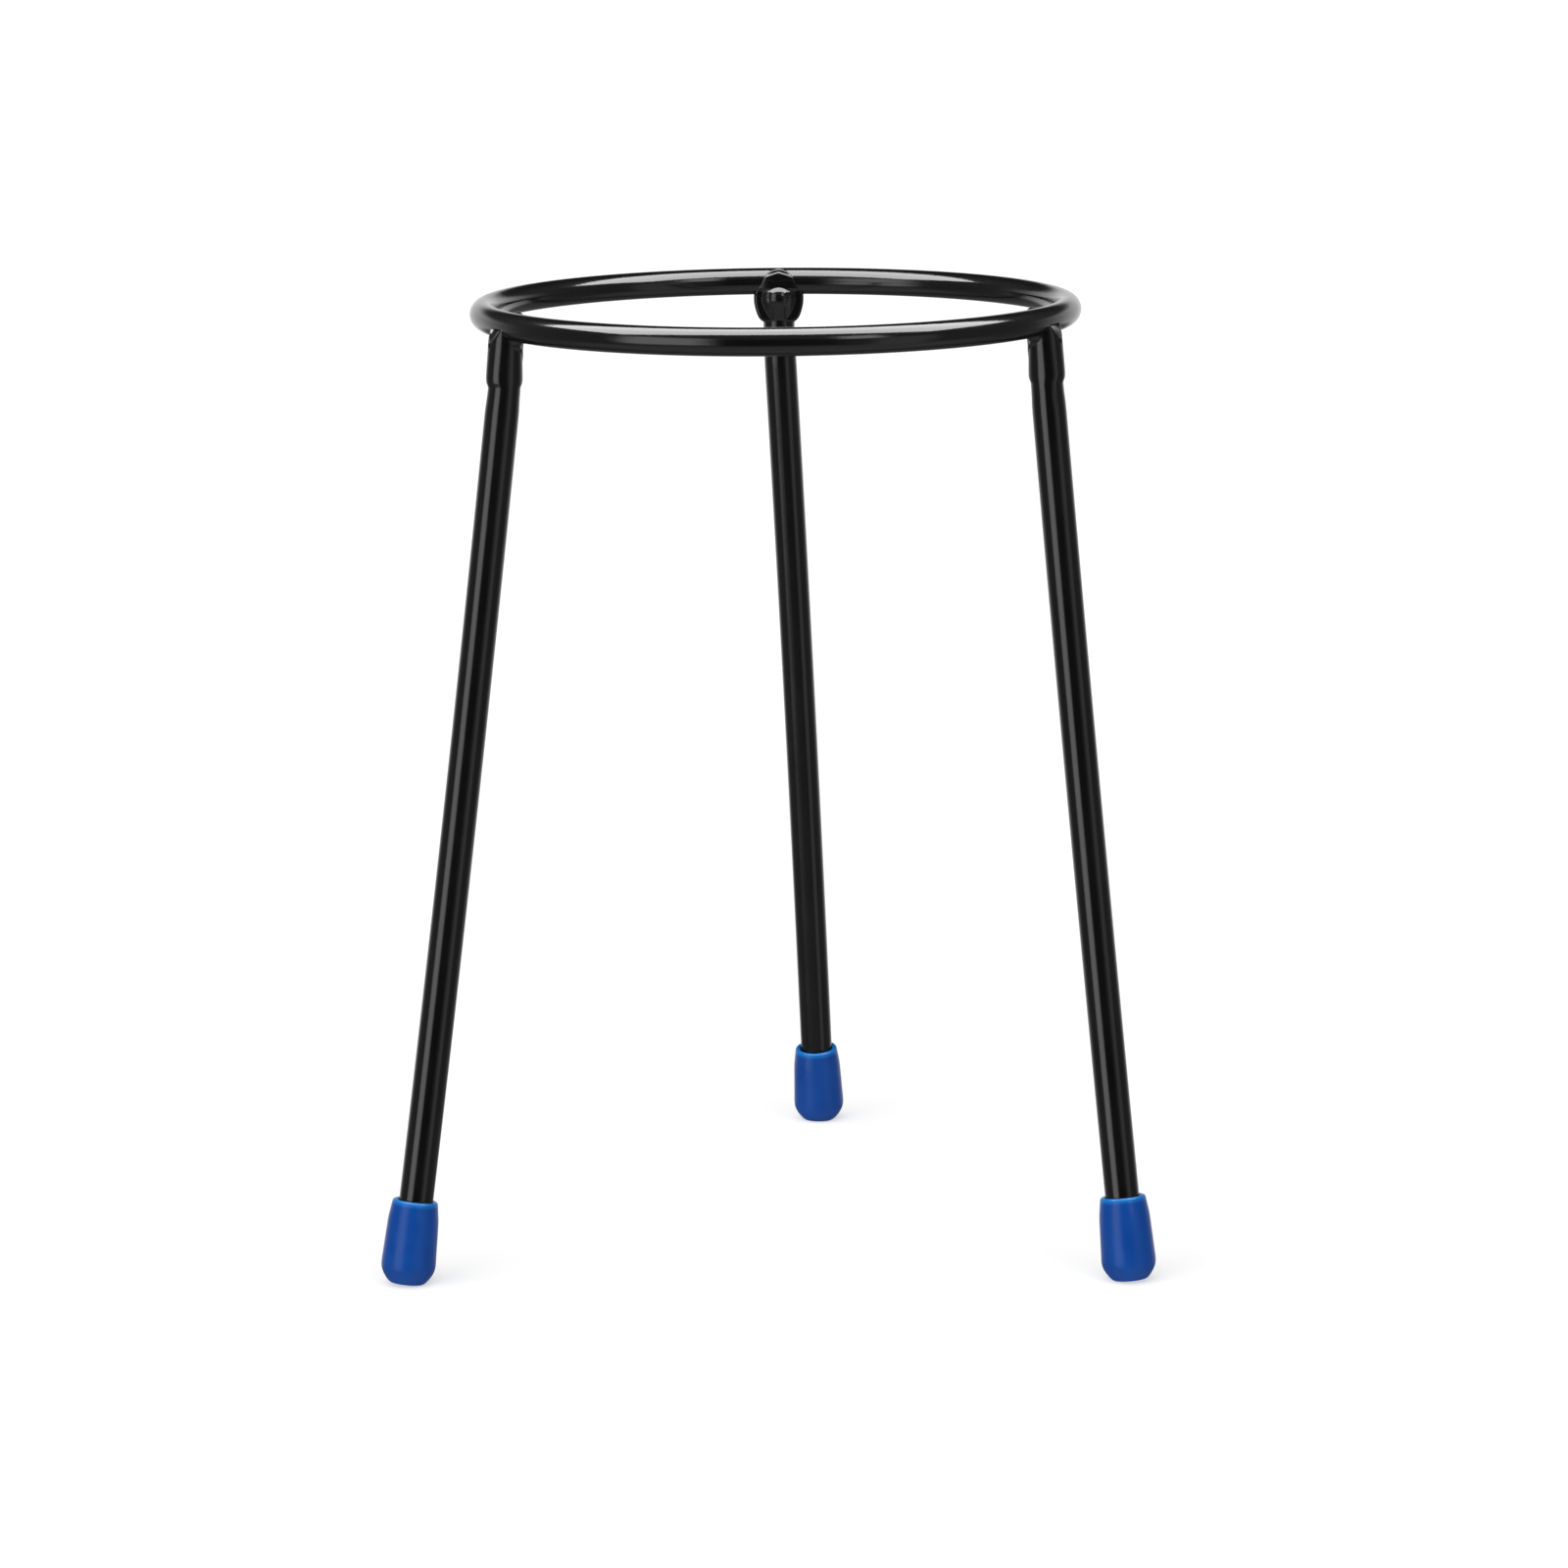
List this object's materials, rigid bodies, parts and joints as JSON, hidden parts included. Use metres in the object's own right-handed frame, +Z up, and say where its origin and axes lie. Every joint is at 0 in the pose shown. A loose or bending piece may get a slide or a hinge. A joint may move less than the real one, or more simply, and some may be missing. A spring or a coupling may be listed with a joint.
{
  "type": "laboratory tripod stand",
  "caption": "Laboratory tripod stand: a black coated steel ring held level on splayed tube legs with pressed heads and blue push-on foot caps.",
  "frame": {"origin": "on the bench, under the middle of the ring", "axes": "+Z up along the ring's axis, the rear leg on the +Y side, the front towards -Y"},
  "size_m": [0.1931, 0.1921, 0.24],
  "materials": {
    "black_coat": "gloss black baked coat on steel",
    "blue_cap": "moulded blue plastic, satin"
  },
  "bodies": {
    "root": {"ring": "black_coat", "leg_left": "black_coat", "leg_right": "black_coat", "leg_rear": "black_coat", "foot_cap_left": "blue_cap", "foot_cap_right": "blue_cap", "foot_cap_rear": "blue_cap"}
  },
  "joints": []
}
